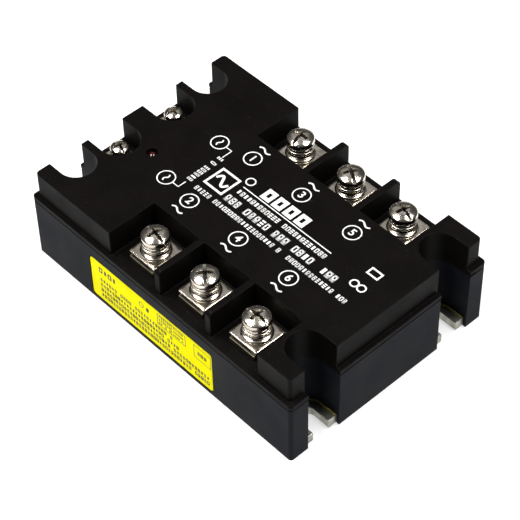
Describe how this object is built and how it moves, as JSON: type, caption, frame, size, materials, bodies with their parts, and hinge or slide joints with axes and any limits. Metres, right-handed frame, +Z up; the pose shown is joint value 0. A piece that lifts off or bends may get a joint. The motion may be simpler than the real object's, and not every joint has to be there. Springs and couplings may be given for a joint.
{
  "type": "three-phase solid state relay",
  "caption": "Panel-mount three-phase solid state relay: black moulded block on a metal base plate, with partitioned screw terminals for line, load and control.",
  "frame": {"origin": "middle of the base plate's underside, on the mounting surface", "axes": "+X along the length, away from the control terminals; +Y towards the line terminals; +Z up, out of the mounting surface"},
  "size_m": [0.105, 0.073, 0.0327],
  "materials": {
    "black_housing": "fine matt moulded surface",
    "plate_metal": "milled, slightly dull",
    "adhesive": "cured squeeze-out",
    "label": "satin film",
    "led_lens": "clear red moulding, unlit",
    "board": "solder mask",
    "opto_body": "white moulded package",
    "film_capacitor": "moulded box",
    "blue_resistor": "lacquer",
    "rectifier_body": "moulded package",
    "red_capacitor": "moulded box",
    "tan_resistor": "lacquer",
    "lead_wire": "tinned",
    "ceramic": "glazed ceramic",
    "silicon": "polished die",
    "copper": "bare copper",
    "potting_gel": "soft cured gel",
    "terminal_metal": "nickel plated, slightly worn",
    "clamp_metal": "nickel plated, tumbled",
    "washer_metal": "nickel plated",
    "screw_metal": "nickel plated"
  },
  "bodies": {
    "relay_case": {"top_cover": "black_housing", "lower_case": "black_housing", "base_plate": "plate_metal", "base_adhesive": "adhesive", "rating_label": "label", "status_led": "led_lens", "control_board": "board", "trigger_optocouplers": "opto_body", "snubber_capacitors": "film_capacitor", "snubber_resistors": "blue_resistor", "input_rectifier": "rectifier_body", "input_capacitor": "red_capacitor", "input_resistors": "tan_resistor", "gate_leads": "lead_wire", "ceramic_substrate_1": "ceramic", "ceramic_substrate_2": "ceramic", "ceramic_substrate_3": "ceramic", "thyristor_chips": "silicon", "cathode_straps": "copper", "potting_compound": "potting_gel", "line_terminal_1": "terminal_metal", "line_terminal_2": "terminal_metal", "line_terminal_3": "terminal_metal", "load_terminal_1": "terminal_metal", "load_terminal_2": "terminal_metal", "load_terminal_3": "terminal_metal", "control_terminal_1": "terminal_metal", "control_terminal_2": "terminal_metal"},
    "line_clamp_1": {"line_clamp_plate_1": "clamp_metal", "line_flat_washer_1": "washer_metal", "line_spring_washer_1": "washer_metal"},
    "line_screw_1_body": {"line_screw_1": "screw_metal"},
    "line_clamp_2": {"line_clamp_plate_2": "clamp_metal", "line_flat_washer_2": "washer_metal", "line_spring_washer_2": "washer_metal"},
    "line_screw_2_body": {"line_screw_2": "screw_metal"},
    "line_clamp_3": {"line_clamp_plate_3": "clamp_metal", "line_flat_washer_3": "washer_metal", "line_spring_washer_3": "washer_metal"},
    "line_screw_3_body": {"line_screw_3": "screw_metal"},
    "load_clamp_1": {"load_clamp_plate_1": "clamp_metal", "load_flat_washer_1": "washer_metal", "load_spring_washer_1": "washer_metal"},
    "load_screw_1_body": {"load_screw_1": "screw_metal"},
    "load_clamp_2": {"load_clamp_plate_2": "clamp_metal", "load_flat_washer_2": "washer_metal", "load_spring_washer_2": "washer_metal"},
    "load_screw_2_body": {"load_screw_2": "screw_metal"},
    "load_clamp_3": {"load_clamp_plate_3": "clamp_metal", "load_flat_washer_3": "washer_metal", "load_spring_washer_3": "washer_metal"},
    "load_screw_3_body": {"load_screw_3": "screw_metal"},
    "control_clamp_1": {"control_clamp_plate_1": "clamp_metal", "control_spring_washer_1": "washer_metal"},
    "control_screw_1_body": {"control_screw_1": "screw_metal"},
    "control_clamp_2": {"control_clamp_plate_2": "clamp_metal", "control_spring_washer_2": "washer_metal"},
    "control_screw_2_body": {"control_screw_2": "screw_metal"}
  },
  "joints": [
    {"name": "line_clamp_lift_1", "type": "slide", "parent": "relay_case", "child": "line_clamp_1", "axis": [0, 0, 1], "range_m": [0, 0.0042]},
    {"name": "line_screw_turn_1", "type": "hinge", "parent": "line_clamp_1", "child": "line_screw_1_body", "pos_m": [-0.01, 0.027, 0.03], "axis": [0, 0, 1], "range_deg": [0, 2160]},
    {"name": "line_clamp_lift_2", "type": "slide", "parent": "relay_case", "child": "line_clamp_2", "axis": [0, 0, 1], "range_m": [0, 0.0042]},
    {"name": "line_screw_turn_2", "type": "hinge", "parent": "line_clamp_2", "child": "line_screw_2_body", "pos_m": [0.01, 0.027, 0.03], "axis": [0, 0, 1], "range_deg": [0, 2160]},
    {"name": "line_clamp_lift_3", "type": "slide", "parent": "relay_case", "child": "line_clamp_3", "axis": [0, 0, 1], "range_m": [0, 0.0042]},
    {"name": "line_screw_turn_3", "type": "hinge", "parent": "line_clamp_3", "child": "line_screw_3_body", "pos_m": [0.03, 0.027, 0.03], "axis": [0, 0, 1], "range_deg": [0, 2160]},
    {"name": "load_clamp_lift_1", "type": "slide", "parent": "relay_case", "child": "load_clamp_1", "axis": [0, 0, 1], "range_m": [0, 0.0042]},
    {"name": "load_screw_turn_1", "type": "hinge", "parent": "load_clamp_1", "child": "load_screw_1_body", "pos_m": [-0.01, -0.027, 0.03], "axis": [0, 0, 1], "range_deg": [0, 2160]},
    {"name": "load_clamp_lift_2", "type": "slide", "parent": "relay_case", "child": "load_clamp_2", "axis": [0, 0, 1], "range_m": [0, 0.0042]},
    {"name": "load_screw_turn_2", "type": "hinge", "parent": "load_clamp_2", "child": "load_screw_2_body", "pos_m": [0.01, -0.027, 0.03], "axis": [0, 0, 1], "range_deg": [0, 2160]},
    {"name": "load_clamp_lift_3", "type": "slide", "parent": "relay_case", "child": "load_clamp_3", "axis": [0, 0, 1], "range_m": [0, 0.0042]},
    {"name": "load_screw_turn_3", "type": "hinge", "parent": "load_clamp_3", "child": "load_screw_3_body", "pos_m": [0.03, -0.027, 0.03], "axis": [0, 0, 1], "range_deg": [0, 2160]},
    {"name": "control_clamp_lift_1", "type": "slide", "parent": "relay_case", "child": "control_clamp_1", "axis": [0, 0, 1], "range_m": [0, 0.003]},
    {"name": "control_screw_turn_1", "type": "hinge", "parent": "control_clamp_1", "child": "control_screw_1_body", "pos_m": [-0.045, -0.0101, 0.03], "axis": [0, 0, 1], "range_deg": [0, 2160]},
    {"name": "control_clamp_lift_2", "type": "slide", "parent": "relay_case", "child": "control_clamp_2", "axis": [0, 0, 1], "range_m": [0, 0.003]},
    {"name": "control_screw_turn_2", "type": "hinge", "parent": "control_clamp_2", "child": "control_screw_2_body", "pos_m": [-0.045, 0.0101, 0.03], "axis": [0, 0, 1], "range_deg": [0, 2160]}
  ],
  "couplings": [
    {"joint": "line_screw_turn_1", "follows": "line_clamp_lift_1", "rad_per_m": 8976},
    {"joint": "line_screw_turn_2", "follows": "line_clamp_lift_2", "rad_per_m": 8976},
    {"joint": "line_screw_turn_3", "follows": "line_clamp_lift_3", "rad_per_m": 8976},
    {"joint": "load_screw_turn_1", "follows": "load_clamp_lift_1", "rad_per_m": 8976},
    {"joint": "load_screw_turn_2", "follows": "load_clamp_lift_2", "rad_per_m": 8976},
    {"joint": "load_screw_turn_3", "follows": "load_clamp_lift_3", "rad_per_m": 8976},
    {"joint": "control_screw_turn_1", "follows": "control_clamp_lift_1", "rad_per_m": 12566},
    {"joint": "control_screw_turn_2", "follows": "control_clamp_lift_2", "rad_per_m": 12566}
  ]
}
